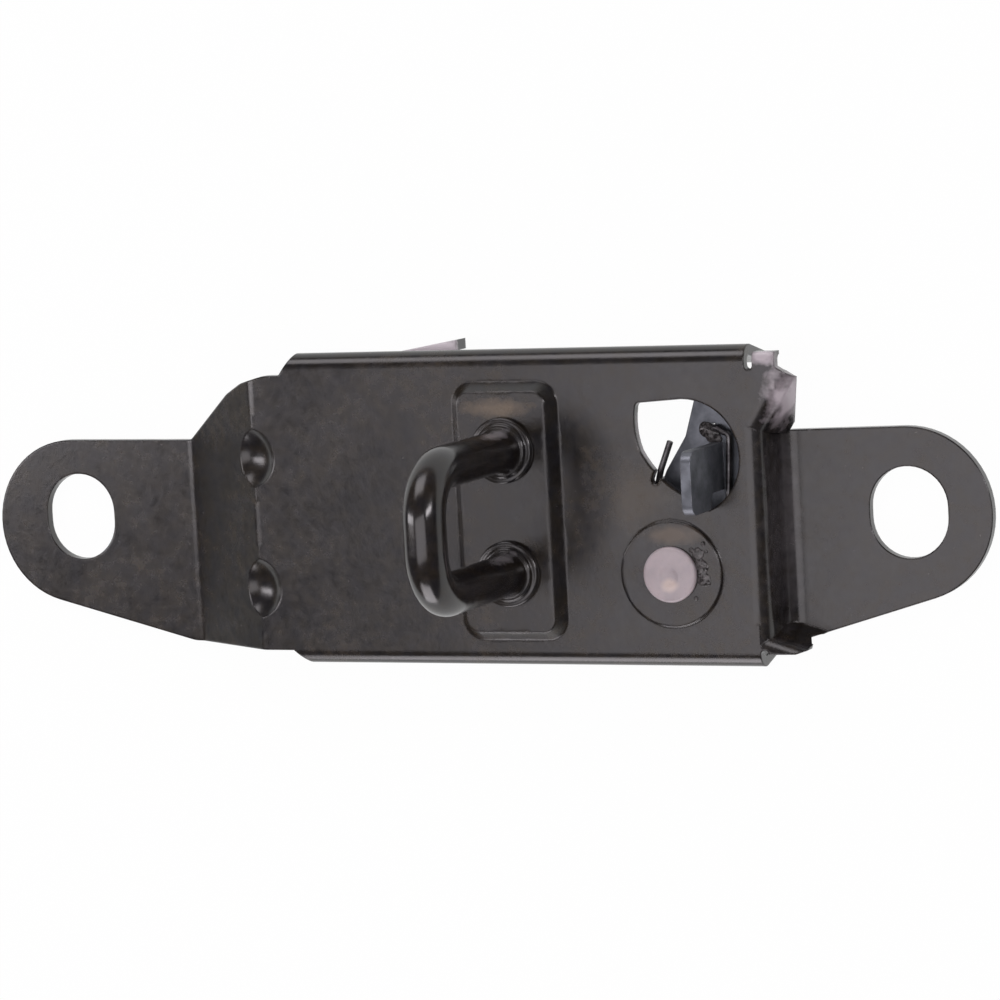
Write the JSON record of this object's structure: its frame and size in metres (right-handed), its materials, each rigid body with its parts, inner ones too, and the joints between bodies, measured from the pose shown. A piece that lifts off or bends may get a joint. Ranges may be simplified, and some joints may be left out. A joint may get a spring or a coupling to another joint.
{
  "type": "trunk striker",
  "caption": "Folded steel striker bracket for a car boot, with slotted ears, a riveted round bar loop and a sprung release lever on a nylon bush.",
  "frame": {"origin": "midway between the two bolt slots, on the plane of the ears' rear faces that bear on the car body", "axes": "+X along the bracket from the sloped ear to the lever's end, +Y across it, +Z out of the plate along the striker loop"},
  "size_m": [0.2058, 0.0611, 0.0565],
  "materials": {
    "black_paint": "semi-gloss black dip paint",
    "loop_paint": "glossy black paint",
    "nylon": "natural nylon, slightly greasy",
    "zinc_plate": "bluish zinc plate",
    "spring_wire": "bright drawn wire",
    "plain_steel": "plain zinc-plated steel"
  },
  "bodies": {
    "striker": {"bracket": "black_paint", "striker_loop": "loop_paint", "pivot_bush": "nylon", "thrust_washer": "plain_steel", "push_nut": "plain_steel", "return_spring": "spring_wire"},
    "lever": {"release_lever": "zinc_plate"}
  },
  "joints": [
    {"name": "lever_pivot", "type": "hinge", "parent": "striker", "child": "lever", "pos_m": [0.0435, -0.0098, 0.006], "axis": [0, 0, 1], "range_deg": [0, 14], "stiffness_Nm_per_rad": 0.15, "springref_deg": -34.38, "deforming": ["return_spring"]}
  ]
}
